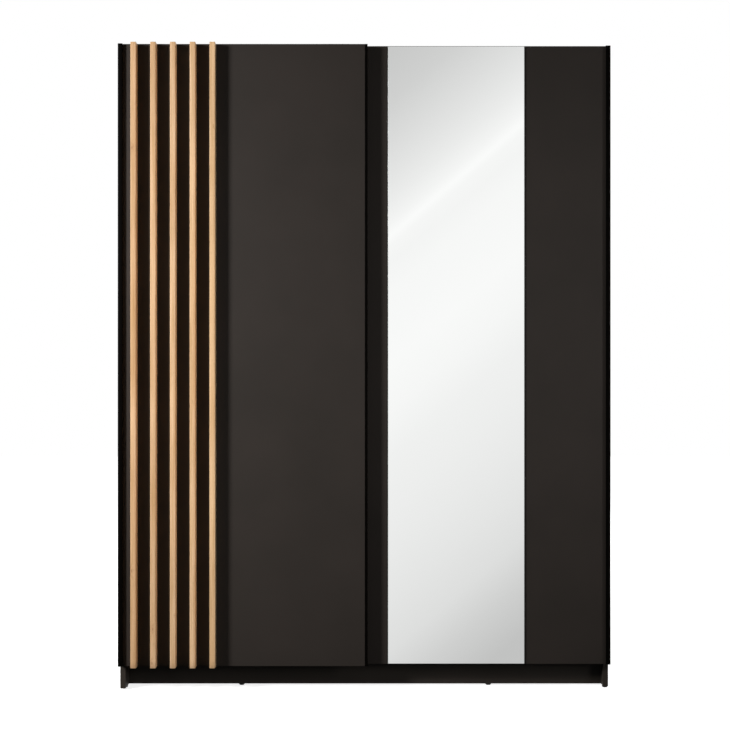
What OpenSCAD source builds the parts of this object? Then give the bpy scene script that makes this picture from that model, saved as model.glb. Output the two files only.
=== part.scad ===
// A two-door sliding wardrobe. A board carcass holds a hanging compartment on the
// left and a shelf compartment on the right. Two full-height doors stand in two
// planes in front of it: both hang on wheels from a double track on the top panel,
// and pegs at their feet run in a double groove under the bottom panel.
// X runs to the right, Y to the back and Z up. The origin is on the floor, at the
// middle of the width and of the depth. All sizes are in millimetres.

/* [Overall size] */
// Width over both closed doors
wardrobe_w = 1520; // [1200:10:1900]
// Height from the floor to the top of the door hangers
wardrobe_h = 2000; // [1600:10:2450]
// Depth from the slat faces to the back
wardrobe_d = 610; // [500:5:750]

/* [Carcass] */
// Thickness of the laminated boards
board_t = 16; // [13:0.5:20]
// Thickness of the hardboard backs
back_t = 3; // [2:0.5:4]
// How far each side panel stands in from a door's outer edge
side_inset = 2; // [1.5:0.5:5]
// How far the rear plinth stands in from the carcass back
rear_plinth_in = 15; // [5:1:60]
// Clear height above the two hat shelves
hat_space = 309; // [200:1:400]
// Number of loose shelves in the right compartment
shelf_count = 4; // [1:1:4]
// Play at each end of a loose shelf
shelf_play = 0.5; // [0.3:0.1:1]
// How far the partition stands back from the carcass front
partition_setback = 20; // [5:1:60]
// How far the shelves stand back from the carcass front
shelf_setback = 25; // [5:1:80]
// Diameter of the floor glides
glide_d = 17; // [14:1:18]
// Height of the floor glides
glide_h = 5; // [3:0.5:10]
// Distance from a side panel to the glides under the plinths
plinth_glide_in = 354; // [200:1:420]

/* [Doors] */
// Width by which the closed doors overlap
door_overlap = 16; // [10:1:40]
// Height of the doors' lower edges above the floor
door_bottom = 80; // [60:1:120]
// Clear space between the front door's back and the rear door's face
door_gap = 12; // [9:0.5:20]
// Clear space between a door's back and the carcass edge behind it
carcass_gap = 6.5; // [5.4:0.1:12]
// Width of the handle profile as seen from the front
handle_w = 14.5; // [12:0.5:30]
// Width of the profile on a door's inner edge
edge_profile_w = 8.4; // [5:0.1:15]
// Wall thickness of the door profiles
profile_t = 1.2; // [1:0.1:1.6]

/* [Slats and mirror] */
// Number of slats on the front door
slat_count = 5; // [2:1:5]
// Width of a slat
slat_w = 17; // [12:1:40]
// Depth of a slat
slat_d = 30; // [18:1:50]
// Distance from the door's outer edge to the first slat
slat_first = 42.5; // [30:0.5:80]
// Distance from one slat to the next
slat_pitch = 60.5; // [45:0.5:90]
// Number of screws in each slat
slat_screw_count = 4; // [3:1:8]
// Width of the mirror
mirror_w = 423; // [300:1:500]
// Distance from the rear door's inner edge to the mirror
mirror_in = 79; // [40:1:100]
// Distance from a door end to the mirror's end
mirror_end = 2; // [1:0.5:60]
// Thickness of the mirror glass
mirror_t = 3; // [3:0.5:5]
// Thickness of the mounting tape
tape_t = 1; // [0.5:0.1:2]

/* [Running gear] */
// Outer diameter of a wheel
wheel_d = 24; // [20:0.5:30]
// Width of a wheel
wheel_w = 8; // [6:0.5:10]
// Depth of the groove in a wheel's tread
groove_depth = 2; // [1:0.1:3]
// Diameter of the wheel axles
axle_d = 5; // [4:0.5:8]
// Distance between the two wheels of a hanger
wheel_spacing = 50; // [40:1:70]
// Thickness of the hanger steel
hanger_t = 2; // [1.5:0.1:3]
// Distance from a door's edge to the middle of a hanger
hanger_in = 100; // [70:1:180]
// Width of the rib that the wheels run on
rib_w = 3; // [2:0.1:4]
// Wall thickness of both tracks
track_t = 2; // [1.5:0.1:2.5]
// Diameter of the guide pegs
peg_d = 12; // [8:0.5:14]
// Thickness of the guide feet
guide_t = 2; // [1.5:0.1:3]
// Inside height of the guide track
guide_track_h = 8; // [6:0.5:14]

/* [Fittings] */
// Diameter of the cam locks
cam_d = 15; // [12:1:18]
// Distance from a board's end to its cam locks
cam_in = 24; // [20:1:34]
// Diameter of the dowels
dowel_d = 8; // [6:1:10]
// Length of the dowels
dowel_l = 30; // [25:1:40]
// Height of the hanging rail's section
rail_h = 30; // [25:1:36]
// Width of the hanging rail's section
rail_w = 15; // [12:1:18]
// Distance from the hat shelf down to the rail's middle
rail_drop = 62; // [50:1:90]
// Diameter of the shelf pins
pin_d = 5; // [4:0.5:7]

/* [Hidden] */
$fn = 48;
board_colour = "#3A3632";
black_colour = "#0D0C0B";
oak_colour = "#D9AE7C";
steel_colour = "#B9BCBE";
nylon_colour = "#E9E7E0";

// Small clearances
fit = 0.1;       // between a fastener and its hole
seat = 0.3;      // between pieces that move past each other
pass = 1;        // between pieces of the two doors that pass each other
bore_play = 0.1; // on the diameter of a wheel's bore
over = 1;        // how far a cut runs past a face

// Depth: the two door planes and the carcass edges behind them
front_face_y = -wardrobe_d / 2 + slat_d;
front_back_y = front_face_y + board_t;
rear_face_y = front_back_y + door_gap;
rear_back_y = rear_face_y + board_t;
left_edge_y = front_back_y + carcass_gap;
carcass_front_y = rear_back_y + carcass_gap;
joiner_t = 1;
carcass_back_y = wardrobe_d / 2 - joiner_t - back_t;
partition_front_y = carcass_front_y + partition_setback;
partition_back_y = carcass_back_y - joiner_t;
shelf_front_y = carcass_front_y + shelf_setback;

// Width
carcass_half = wardrobe_w / 2 - side_inset;
inner_half = carcass_half - board_t;
partition_half = board_t / 2;
door_w = (wardrobe_w + door_overlap) / 2;
door_travel = inner_half - door_overlap / 2 - 2;

// Height at the top: hangers, wheels, track and top panel
front_arm_top = wardrobe_h;
front_arm_under = front_arm_top - hanger_t;
door_top = front_arm_under - 2;
side_top = door_top - 2;
rear_arm_top = front_arm_under - 6;
wheel_r = wheel_d / 2;
running_r = wheel_r - groove_depth;
axle_z = rear_arm_top - hanger_t - 1.8 - wheel_r;
rib_top = axle_z - running_r - 0.2;
track_floor = rib_top - groove_depth - 1;
top_panel_top = track_floor - track_t;
top_panel_under = top_panel_top - board_t;
top_mid = top_panel_top - board_t / 2;

// Height at the bottom: guide feet, guide track and bottom panel
front_foot_z = door_bottom - 2 - guide_t;
rear_foot_z = front_foot_z + guide_t + pass;
guide_track_under = rear_foot_z + guide_t + pass;
guide_track_floor = guide_track_under + guide_track_h;
bottom_panel_under = guide_track_floor + track_t;
bottom_panel_top = bottom_panel_under + board_t;
bottom_mid = bottom_panel_under + board_t / 2;
peg_top = guide_track_floor - pass;

// Shelves
hat_top = top_panel_under - hat_space;
hat_under = hat_top - board_t;
hat_mid = hat_top - board_t / 2;
shelf_space = (hat_under - bottom_panel_top - shelf_count * board_t) / (shelf_count + 1);

// Door profiles: the handle's lip stays clear of the front door's hangers
handle_out = door_gap - hanger_t - pass;
handle_t = profile_t + 0.3;
handle_lip = 2;
handle_flange = 10;

// Running track on the top panel, from front to back
track_front_y = carcass_front_y + 0.5;
rib_front_space = 14;
rib_back_space = 17;
channel_w = rib_front_space + rib_back_space;
rear_rib_y = track_front_y + track_t + rib_front_space;
front_rib_y = rear_rib_y + channel_w + track_t;
track_back_y = track_front_y + 2 * channel_w + 3 * track_t;
track_lip = 9;
track_end = 0.5;

// Guide track under the bottom panel
guide_groove = peg_d + 1;
rear_groove_y = track_front_y + track_t + guide_groove / 2;
front_groove_y = rear_groove_y + guide_groove + track_t;
guide_track_back_y = track_front_y + 2 * guide_groove + 3 * track_t;

// Hangers, wheels and axles
hanger_w = wheel_spacing + wheel_d + 6;
hanger_plate_h = 66;
cheek_off = wheel_w / 2 + 2.5;
cheek_under = rib_top + 2;
axle_head_d = axle_d + 3;
axle_head_t = 1.5;
wheel_us = [-wheel_spacing / 2, wheel_spacing / 2];
stop_l = 20;
stop_h = 16;

// Guides
guide_w = 40;
guide_plate_t = guide_t + 0.5;
guide_plate_h = 42;

// Screws
screw_d = 3.5;
screw_l = 14;
door_screw_d = 4;
door_screw_l = 14;
slat_screw_l = board_t + slat_d - 8;
confirmat_d = 6.4;
confirmat_l = 50;

// Plinths
plinth_front_y = guide_track_back_y + 2;
rear_plinth_y = carcass_back_y - rear_plinth_in - board_t;
plinth_glide_x = inner_half - plinth_glide_in;
plinth_screw_xs = [for (i = [-3 : 2 : 3]) i * inner_half / 4];
plinth_ys = [plinth_front_y + board_t / 2, rear_plinth_y + board_t / 2];

// Board joints: [face where the end meets, direction into the board, height, shift in Y]
hat_shift = 20;
joints = [
  for (z = [bottom_mid, top_mid, hat_mid]) [-inner_half, 1, z, 0],
  for (z = [bottom_mid, top_mid]) [inner_half, -1, z, 0],
  [inner_half, -1, hat_mid, hat_shift],
  [-partition_half, -1, hat_mid, 0],
  [partition_half, 1, hat_mid, hat_shift]
];
cam_ys = [carcass_front_y + 74, carcass_back_y - 72];
dowel_ys = [cam_ys[0] + 40, cam_ys[1] - 40];
cam_web = 3.5;
cam_h = board_t - cam_web;
bolt_d = 6;
bolt_head_d = 7;
bolt_thread_d = 5;
bolt_thread_l = board_t - 5;
dowel_in_face = board_t - 6;
partition_screw_ys = [partition_front_y + 60, (partition_front_y + partition_back_y) / 2,
                      partition_back_y - 60];
partition_dowel_ys = [partition_front_y + 120, partition_back_y - 120];

// Shelf pins, rail and back
pin_in = 8;
pin_ys = [shelf_front_y + 50, carcass_back_y - 50];
rail_z = hat_under - rail_drop;
rail_y = (shelf_front_y + carcass_back_y) / 2;
rail_wall = 1;
bracket_t = 3;
bracket_cup = 12;
bracket_h = rail_h + 34;
bracket_screw_z = rail_h / 2 + 9;
joiner_w = board_t;
joiner_web = 2;
track_screw_xs = [for (i = [-2 : 2]) i * inner_half / 2.5];
back_screw_zs = [for (i = [0 : 5]) bottom_panel_top + 30 + i * (top_panel_under - bottom_panel_top - 60) / 5];
back_screws = [
  for (s = [-1, 1], z = back_screw_zs) [s * (carcass_half - board_t / 2), z],
  for (s = [-1, 1], i = [1, 2], z = [bottom_mid, top_mid]) [s * i * inner_half / 3, z]
];
glides = [
  [-(carcass_half - board_t / 2), left_edge_y + 42], [-(carcass_half - board_t / 2), carcass_back_y - 42],
  [carcass_half - board_t / 2, carcass_front_y + 42], [carcass_half - board_t / 2, carcass_back_y - 42],
  for (s = [-1, 1], y = plinth_ys) [s * plinth_glide_x, y]
];
nail_d = 2;
nail_l = 12;

numbers = [for (i = [1 : 4]) i];

// ---------------------------------------------------------------- helpers

// A box between its lowest and its highest corner
module block(low, high) {
  translate(low) cube(high - low);
}

// Each turns what points up, towards +Z, to point in the direction it names
module to_back() { rotate([-90, 0, 0]) children(); }
module to_right() { rotate([0, 90, 0]) children(); }
module to_left() { rotate([0, -90, 0]) children(); }
module to_floor() { rotate([180, 0, 0]) children(); }

// A profile drawn in Y and Z, carried along X from one place to another
module along_x(from, to) {
  translate([from, 0, 0]) rotate([90, 0, 90]) linear_extrude(height = to - from) children();
}

// A countersunk screw with its head's top at the origin and its point downwards
module countersunk_screw(d, l) {
  head_h = d / 2;
  difference() {
    union() {
      translate([0, 0, -head_h]) cylinder(d1 = d, d2 = 2 * d, h = head_h);
      translate([0, 0, -l]) cylinder(d = d, h = l - head_h);
    }
    translate([0, 0, -0.35 * d]) cylinder(d = 0.7 * d, h = d, $fn = 6);
  }
}

// The hole for that screw
module countersunk_hole(d, l) {
  head_h = d / 2;
  translate([0, 0, -head_h]) cylinder(d1 = d + 2 * fit, d2 = 2 * d + 2 * fit, h = head_h);
  translate([0, 0, -fit]) cylinder(d = 2 * d + 2 * fit, h = over + fit);
  translate([0, 0, -l - fit]) cylinder(d = d + 2 * fit, h = l);
}

// A flat oval: two half circles joined by a rectangle, tall in Y
module oval(h, w) {
  square([w, h - w], center = true);
  for (s = [-1, 1]) translate([0, s * (h - w) / 2]) circle(d = w);
}

// ---------------------------------------------------------------- carcass joints

// Repeats a fitting at every board end; locally +X points into the board
module at_board_ends(ys) {
  for (j = joints, y = ys)
    translate([j[0], y + j[3], j[2]]) mirror([j[1] < 0 ? 1 : 0, 0, 0]) children();
}

module cam_cut() {
  translate([cam_in, 0, -board_t / 2 - over]) cylinder(d = cam_d + 2 * fit, h = cam_h + over + fit);
}

module bolt_cut() {
  translate([-bolt_thread_l - fit, 0, 0]) to_right()
    cylinder(d = bolt_thread_d + 2 * fit, h = bolt_thread_l + 2 * fit);
  to_right() cylinder(d = bolt_head_d + 1, h = cam_in);
}

module dowel_cut() {
  translate([-dowel_in_face - fit, 0, 0]) to_right()
    cylinder(d = dowel_d + 2 * fit, h = dowel_l + 2 * fit);
}

module at_partition_dowels() {
  for (y = partition_dowel_ys) {
    translate([0, y, bottom_panel_top - dowel_in_face]) children();
    translate([0, y, top_panel_under - dowel_l + dowel_in_face]) children();
  }
}

module at_plinth_dowels() {
  for (s = [-1, 1], y = plinth_ys)
    translate([s * inner_half, y, (glide_h + bottom_panel_under) / 2])
      mirror([s > 0 ? 1 : 0, 0, 0]) children();
}

module at_confirmats() {
  for (y = partition_screw_ys) {
    translate([0, y, top_panel_top]) children();
    translate([0, y, bottom_panel_under]) to_floor() children();
  }
  for (x = plinth_screw_xs, y = plinth_ys) translate([x, y, bottom_panel_top]) children();
}

module at_track_screws() {
  for (x = track_screw_xs, y = [rear_rib_y, front_rib_y])
    translate([x, y + 9, track_floor]) children();
}

module at_guide_track_screws() {
  for (x = track_screw_xs, y = [rear_groove_y, front_groove_y])
    translate([x, y, guide_track_floor]) to_floor() children();
}

module at_back_screws() {
  for (p = back_screws) translate([p[0], carcass_back_y + back_t, p[1]]) to_back() children();
}

// Both rail brackets; locally +X points along the rail
module at_brackets() {
  translate([-inner_half, rail_y, rail_z]) children();
  translate([-partition_half, rail_y, rail_z]) mirror([1, 0, 0]) children();
}

module at_bracket_screws() {
  for (s = [-1, 1]) translate([bracket_t, 0, s * bracket_screw_z]) to_right() children();
}

module at_pins() {
  for (i = [1 : shelf_count], y = pin_ys, x = [partition_half, inner_half])
    translate([x, y, shelf_z(i) - pin_d / 2]) to_right() children();
}

module at_glides() {
  for (g = glides) translate([g[0], g[1], 0]) children();
}

function shelf_z(i) = bottom_panel_top + i * shelf_space + (i - 1) * board_t;

// A board with the holes of every fitting that reaches it
module drilled() {
  difference() {
    children();
    at_board_ends(cam_ys) {
      cam_cut();
      bolt_cut();
    }
    at_board_ends(dowel_ys) dowel_cut();
    at_plinth_dowels() dowel_cut();
    at_partition_dowels() translate([0, 0, -fit]) cylinder(d = dowel_d + 2 * fit, h = dowel_l + 2 * fit);
    at_confirmats() countersunk_hole(confirmat_d, confirmat_l);
    at_pins() cylinder(d = pin_d + 2 * fit, h = 2 * (pin_in + fit), center = true);
    at_brackets() at_bracket_screws() countersunk_hole(screw_d, screw_l);
    at_back_screws() countersunk_hole(screw_d, screw_l);
    at_track_screws() countersunk_hole(screw_d, screw_l);
    at_guide_track_screws() countersunk_hole(screw_d, screw_l);
    at_glides() cylinder(d = nail_d + 2 * fit, h = glide_h + nail_l + fit);
  }
}

// ---------------------------------------------------------------- carcass boards

module left_side_panel() {
  color(board_colour) drilled()
    block([-carcass_half, left_edge_y, glide_h], [-inner_half, carcass_back_y, side_top]);
}

module right_side_panel() {
  color(board_colour) drilled()
    block([inner_half, carcass_front_y, glide_h], [carcass_half, carcass_back_y, side_top]);
}

module top_panel() {
  color(board_colour) drilled()
    block([-inner_half, carcass_front_y, top_panel_under], [inner_half, carcass_back_y, top_panel_top]);
}

module bottom_panel() {
  color(board_colour) drilled()
    block([-inner_half, carcass_front_y, bottom_panel_under], [inner_half, carcass_back_y, bottom_panel_top]);
}

module centre_partition() {
  color(board_colour) drilled()
    block([-partition_half, partition_front_y, bottom_panel_top],
          [partition_half, partition_back_y, top_panel_under]);
}

module plinth(y) {
  color(board_colour) drilled()
    block([-inner_half, y, glide_h], [inner_half, y + board_t, bottom_panel_under]);
}

module hat_shelf(from, to) {
  color(board_colour) drilled()
    block([from, shelf_front_y, hat_under], [to, carcass_back_y, hat_top]);
}

module loose_shelf(i) {
  color(board_colour)
    block([partition_half + shelf_play, shelf_front_y, shelf_z(i)],
          [inner_half - shelf_play, carcass_back_y - shelf_play, shelf_z(i) + board_t]);
}

module back_panel(from, to) {
  color("#6E6258") drilled()
    block([from, carcass_back_y, bottom_panel_under], [to, carcass_back_y + back_t, top_panel_top]);
}

// An H profile that holds both hardboard backs behind the partition
module back_joiner() {
  color(black_colour) translate([0, 0, bottom_panel_top])
    linear_extrude(height = top_panel_under - bottom_panel_top) {
      translate([-joiner_w / 2, partition_back_y]) square([joiner_w, joiner_t]);
      translate([-joiner_web / 2, partition_back_y]) square([joiner_web, back_t + 2 * joiner_t]);
      translate([-joiner_w / 2, carcass_back_y + back_t]) square([joiner_w, joiner_t]);
    }
}

// ---------------------------------------------------------------- carcass fittings

module hanging_rail() {
  end = bracket_t + seat;
  color(steel_colour) translate([0, rail_y, rail_z]) along_x(-inner_half + end, -partition_half - end)
    difference() {
      oval(rail_h, rail_w);
      oval(rail_h - 2 * rail_wall, rail_w - 2 * rail_wall);
    }
}

// A flange on the board with a cup, open at the top, that the rail lies in
module rail_bracket() {
  cup_wall = 2;
  play = 0.6;
  difference() {
    union() {
      along_x(0, bracket_t) oval(bracket_h, rail_h);
      along_x(0, bracket_cup) oval(rail_h + play + 2 * cup_wall, rail_w + play + 2 * cup_wall);
    }
    along_x(bracket_t, bracket_cup + over) oval(rail_h + play, rail_w + play);
    block([bracket_t, -(rail_w + play) / 2, 0], [bracket_cup + over, (rail_w + play) / 2, rail_h]);
    at_bracket_screws() countersunk_hole(screw_d, screw_l);
  }
}

module rail_brackets() {
  color(steel_colour) at_brackets() rail_bracket();
}

module shelf_pins() {
  color(steel_colour) at_pins() cylinder(d = pin_d, h = 2 * pin_in, center = true);
}

module floor_glides() {
  color(black_colour) at_glides() {
    cylinder(d = glide_d, h = glide_h);
    cylinder(d = nail_d, h = glide_h + nail_l);
  }
}

// A round lock with a bore for the bolt's head
module cam_locks() {
  color(steel_colour) at_board_ends(cam_ys) difference() {
    translate([cam_in, 0, -board_t / 2]) cylinder(d = cam_d, h = cam_h);
    to_right() cylinder(d = bolt_head_d + 2 * fit, h = cam_in + 4);
    translate([cam_in, 0, -board_t / 2]) cylinder(d = 5, h = 2, $fn = 6);
  }
}

module cam_bolts() {
  neck = cam_in - 3;
  color(steel_colour) at_board_ends(cam_ys) {
    translate([-bolt_thread_l, 0, 0]) to_right() cylinder(d = bolt_thread_d, h = bolt_thread_l);
    to_right() cylinder(d = bolt_d, h = neck);
    translate([neck, 0, 0]) to_right() cylinder(d = bolt_head_d, h = 6);
  }
}

module wood_dowels() {
  color("#D8B98A") {
    at_board_ends(dowel_ys) translate([-dowel_in_face, 0, 0]) to_right() cylinder(d = dowel_d, h = dowel_l);
    at_plinth_dowels() translate([-dowel_in_face, 0, 0]) to_right() cylinder(d = dowel_d, h = dowel_l);
    at_partition_dowels() cylinder(d = dowel_d, h = dowel_l);
  }
}

module confirmat_screws() {
  color(steel_colour) at_confirmats() countersunk_screw(confirmat_d, confirmat_l);
}

// The small screws of the tracks, the rail brackets and the backs
module small_screws() {
  color(steel_colour) {
    at_track_screws() countersunk_screw(screw_d, screw_l);
    at_guide_track_screws() countersunk_screw(screw_d, screw_l);
    at_back_screws() countersunk_screw(screw_d, screw_l);
    at_brackets() at_bracket_screws() countersunk_screw(screw_d, screw_l);
  }
}

// ---------------------------------------------------------------- tracks

// One running rib with a round top, drawn in Y and Z, grown by a clearance
module rib(y, grow) {
  r = rib_w / 2 + grow;
  translate([y - r, track_floor - fit]) square([2 * r, rib_top - rib_w / 2 - track_floor + fit]);
  translate([y, rib_top - rib_w / 2]) circle(r = r);
}

// Two channels side by side, each with a rib that its wheels run on
module running_track() {
  back_wall = track_lip + 3;
  color(steel_colour) difference() {
    along_x(-inner_half + track_end, inner_half - track_end) {
      translate([track_front_y, top_panel_top]) square([track_back_y - track_front_y, track_t]);
      for (y = [track_front_y, track_front_y + track_t + channel_w])
        translate([y, top_panel_top]) square([track_t, track_t + track_lip]);
      translate([track_back_y - track_t, top_panel_top]) square([track_t, track_t + back_wall]);
      for (y = [rear_rib_y, front_rib_y]) rib(y, 0);
    }
    at_track_screws() countersunk_hole(screw_d, screw_l);
  }
}

// Two grooves, open downwards, for the pegs at the doors' feet
module guide_track() {
  color(black_colour) difference() {
    along_x(-inner_half + track_end, inner_half - track_end) {
      translate([track_front_y, guide_track_floor]) square([guide_track_back_y - track_front_y, track_t]);
      for (i = [0 : 2])
        translate([track_front_y + i * (guide_groove + track_t), guide_track_under])
          square([track_t, guide_track_h + track_t]);
    }
    at_guide_track_screws() countersunk_hole(screw_d, screw_l);
  }
}

// A rubber block in a channel, astride its rib
module end_stop(x, channel_y, rib_y) {
  along_x(x, x + stop_l) difference() {
    translate([channel_y + seat, track_floor]) square([channel_w - 2 * seat, stop_h]);
    rib(rib_y, fit);
  }
}

module track_end_stops() {
  reach = door_w - wardrobe_w / 2 - hanger_in + hanger_w / 2 + door_travel + pass / 2;
  rest = wardrobe_w / 2 - hanger_in + hanger_w / 2 + pass / 2;
  rear_channel_y = track_front_y + track_t;
  front_channel_y = rear_channel_y + channel_w + track_t;
  color(black_colour) {
    end_stop(-rest - stop_l, front_channel_y, front_rib_y);
    end_stop(reach, front_channel_y, front_rib_y);
    end_stop(-reach - stop_l, rear_channel_y, rear_rib_y);
    end_stop(rest, rear_channel_y, rear_rib_y);
  }
}

// ---------------------------------------------------------------- doors

// Both doors are drawn alike: X starts at the outer edge and runs inwards, and Y
// starts at the face. The front door stands on the left, the rear one is its mirror.
module front_place() {
  translate([-wardrobe_w / 2, front_face_y, 0]) children();
}

module rear_place() {
  mirror([1, 0, 0]) translate([-wardrobe_w / 2, rear_face_y, 0]) children();
}

function hanger_u(i) = i == 1 ? hanger_in : door_w - hanger_in;

module at_hanger_screws() {
  for (i = [1, 2], s = [-1, 1], z = [14, 44])
    translate([hanger_u(i) + s * 26, board_t + hanger_t, door_top - hanger_plate_h + z]) to_back() children();
}

module at_guide_screws() {
  for (i = [1, 2], s = [-1, 1])
    translate([hanger_u(i) + s * 12, board_t + guide_plate_t, door_bottom + 24]) to_back() children();
}

module at_slat_screws() {
  step = (door_top - door_bottom - 160) / (slat_screw_count - 1);
  for (i = [1 : slat_count], k = [0 : slat_screw_count - 1])
    translate([slat_first + (i - 1) * slat_pitch + slat_w / 2, board_t, door_bottom + 80 + k * step])
      to_back() children();
}

module door_board() {
  difference() {
    block([handle_t, 0, door_bottom], [door_w - profile_t, board_t, door_top]);
    at_hanger_screws() countersunk_hole(door_screw_d, door_screw_l);
    at_guide_screws() countersunk_hole(door_screw_d, door_screw_l);
    children();
  }
}

// The handle: it wraps the board's outer edge and ends in a lip for the fingers
module door_handle() {
  translate([0, 0, door_bottom]) linear_extrude(height = door_top - door_bottom) {
    translate([0, -handle_out]) square([handle_t, handle_out + board_t + profile_t]);
    translate([0, -handle_out]) square([handle_w, handle_t]);
    translate([handle_w - handle_t, -handle_out]) square([handle_t, handle_t + handle_lip]);
    translate([0, -profile_t]) square([handle_flange, profile_t]);
    translate([0, board_t]) square([handle_flange, profile_t]);
  }
}

// A U profile over the board's inner edge
module door_edge_profile() {
  translate([0, 0, door_bottom]) linear_extrude(height = door_top - door_bottom) {
    translate([door_w - profile_t, -profile_t]) square([profile_t, board_t + 2 * profile_t]);
    for (y = [-profile_t, board_t]) translate([door_w - edge_profile_w, y]) square([edge_profile_w, profile_t]);
  }
}

// Plate on the door's back, arm above the track, and cheek behind the wheels
module hanger(i, arm_top, rib_v) {
  cheek_v = rib_v + cheek_off;
  plate_under = door_top - hanger_plate_h;
  difference() {
    translate([hanger_u(i), 0, 0]) along_x(-hanger_w / 2, hanger_w / 2) {
      translate([board_t, plate_under]) square([hanger_t, arm_top - plate_under]);
      translate([board_t, arm_top - hanger_t]) square([cheek_v + hanger_t - board_t, hanger_t]);
      translate([cheek_v, cheek_under]) square([hanger_t, arm_top - cheek_under]);
    }
    at_hanger_screws() countersunk_hole(door_screw_d, door_screw_l);
    for (u = wheel_us) translate([hanger_u(i) + u, cheek_v - over, axle_z]) to_back()
      cylinder(d = axle_d + fit, h = hanger_t + 2 * over);
  }
}

// Wheel places from the outer edge inwards, numbered 1 to 4
function wheel_u(k) = hanger_u(k <= 2 ? 1 : 2) + wheel_us[(k - 1) % 2];

// A riveted axle: heads at both ends, and a shoulder that spaces the wheel
module axle(k, rib_v) {
  wheel_front = -wheel_w / 2 - seat;
  cheek_back = cheek_off + hanger_t;
  translate([wheel_u(k), rib_v, axle_z]) to_back() {
    translate([0, 0, wheel_front - axle_head_t]) cylinder(d = axle_d, h = cheek_back - wheel_front + 2 * axle_head_t);
    translate([0, 0, wheel_front - axle_head_t]) cylinder(d = axle_head_d, h = axle_head_t);
    translate([0, 0, -wheel_front]) cylinder(d = axle_head_d, h = cheek_off + wheel_front);
    translate([0, 0, cheek_back]) cylinder(d = axle_head_d, h = axle_head_t);
  }
}

// A wheel with a grooved tread and a plain bore
module wheel(k, rib_v) {
  bore = (axle_d + bore_play) / 2;
  half = wheel_w / 2;
  edge = 0.5;
  groove = rib_w / 2 + edge;
  translate([wheel_u(k), rib_v, axle_z]) to_back() rotate_extrude() polygon([
    [bore, -half], [wheel_r - edge, -half], [wheel_r, -half + edge], [wheel_r, -groove - edge],
    [running_r, -groove], [running_r, groove], [wheel_r, groove + edge], [wheel_r, half - edge],
    [wheel_r - edge, half], [bore, half]
  ]);
}

// Plate on the door's back, a foot below the track, and a peg in the groove
module guide(i, foot_z, groove_v) {
  difference() {
    union() {
      translate([hanger_u(i), 0, 0]) {
        block([-guide_w / 2, board_t, foot_z], [guide_w / 2, board_t + guide_plate_t, foot_z + guide_plate_h]);
        block([-guide_w / 2, board_t, foot_z], [guide_w / 2, groove_v, foot_z + guide_t]);
        translate([0, groove_v, foot_z]) cylinder(d = peg_d, h = peg_top - foot_z);
      }
    }
    at_guide_screws() countersunk_hole(door_screw_d, door_screw_l);
  }
}

module door_screws() {
  at_hanger_screws() countersunk_screw(door_screw_d, door_screw_l);
  at_guide_screws() countersunk_screw(door_screw_d, door_screw_l);
}

// ---------------------------------------------------------------- front door

module front_door_panel() {
  color(board_colour) front_place() door_board() at_slat_screws() countersunk_hole(door_screw_d, slat_screw_l);
}

module front_door_handle() {
  color(black_colour) front_place() door_handle();
}

module front_door_edge_profile() {
  color(black_colour) front_place() door_edge_profile();
}

// A slat with two small chamfers along its front edges
module slat(i) {
  chamfer = 1;
  color(oak_colour) front_place() difference() {
    translate([slat_first + (i - 1) * slat_pitch, 0, door_bottom])
      linear_extrude(height = door_top - door_bottom)
        polygon([[0, 0], [0, chamfer - slat_d], [chamfer, -slat_d], [slat_w - chamfer, -slat_d],
                 [slat_w, chamfer - slat_d], [slat_w, 0]]);
    at_slat_screws() countersunk_hole(door_screw_d, slat_screw_l);
  }
}

module slat_screws() {
  color(steel_colour) front_place() at_slat_screws() countersunk_screw(door_screw_d, slat_screw_l);
}

module front_hanger(i) {
  color(steel_colour) front_place() hanger(i, front_arm_top, front_rib_y - front_face_y);
}

module front_axles() {
  color(steel_colour) front_place() for (k = numbers) axle(k, front_rib_y - front_face_y);
}

module front_wheel(k) {
  color(nylon_colour) front_place() wheel(k, front_rib_y - front_face_y);
}

module front_guides() {
  color(black_colour) front_place() for (i = [1, 2]) guide(i, front_foot_z, front_groove_y - front_face_y);
}

module front_door_screws() {
  color(steel_colour) front_place() door_screws();
}

// ---------------------------------------------------------------- rear door

module rear_door_panel() {
  color(board_colour) rear_place() door_board();
}

module rear_door_handle() {
  color(black_colour) rear_place() door_handle();
}

module rear_door_edge_profile() {
  color(black_colour) rear_place() door_edge_profile();
}

module mirror_glass() {
  right = door_w - mirror_in;
  color("#DDE2E4") rear_place()
    block([right - mirror_w, -tape_t - mirror_t, door_bottom + mirror_end], [right, -tape_t, door_top - mirror_end]);
}

module mirror_tape() {
  strips = 4;
  strip_w = 19;
  edge = 24;
  step = (mirror_w - 2 * edge - strip_w) / (strips - 1);
  color("#E8E8E4") rear_place() for (i = [0 : strips - 1])
    translate([door_w - mirror_in - mirror_w + edge + i * step, -tape_t, door_bottom + mirror_end + edge])
      cube([strip_w, tape_t, door_top - door_bottom - 2 * (mirror_end + edge)]);
}

module rear_hanger(i) {
  color(steel_colour) rear_place() hanger(i, rear_arm_top, rear_rib_y - rear_face_y);
}

module rear_axles() {
  color(steel_colour) rear_place() for (k = numbers) axle(k, rear_rib_y - rear_face_y);
}

module rear_wheel(k) {
  color(nylon_colour) rear_place() wheel(k, rear_rib_y - rear_face_y);
}

module rear_guides() {
  color(black_colour) rear_place() for (i = [1, 2]) guide(i, rear_foot_z, rear_groove_y - rear_face_y);
}

module rear_door_screws() {
  color(steel_colour) rear_place() door_screws();
}

// ---------------------------------------------------------------- the wardrobe

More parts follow.
